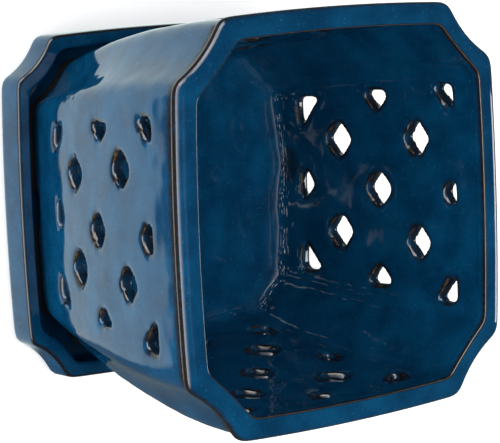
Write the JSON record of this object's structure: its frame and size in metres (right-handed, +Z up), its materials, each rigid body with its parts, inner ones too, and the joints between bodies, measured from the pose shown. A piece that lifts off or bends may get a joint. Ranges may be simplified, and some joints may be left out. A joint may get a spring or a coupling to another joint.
{
  "type": "orchid pot",
  "caption": "Square flared pot with notched corners, a thick flat lip and diamond slots in every wall, fixed to a notched drip saucer.",
  "frame": {"origin": "middle of the saucer's underside, on the surface that the pot stands on", "axes": "+Z up along the pot's axis to its mouth, +X and +Y square to two neighbouring sides"},
  "size_m": [0.16, 0.16, 0.134],
  "materials": {
    "blue_glaze": "glossy deep blue glaze that breaks brown on thin edges",
    "bare_stoneware": "matt fired brown clay"
  },
  "bodies": {
    "root": {"lip": "blue_glaze", "floor": "blue_glaze", "inner_coil": "blue_glaze", "foot": "blue_glaze", "wall_right": "blue_glaze", "corner_right_back": "blue_glaze", "wall_back": "blue_glaze", "corner_back_left": "blue_glaze", "wall_left": "blue_glaze", "corner_left_front": "blue_glaze", "wall_front": "blue_glaze", "corner_front_right": "blue_glaze", "luting_seam": "bare_stoneware", "saucer": "blue_glaze"}
  },
  "joints": []
}
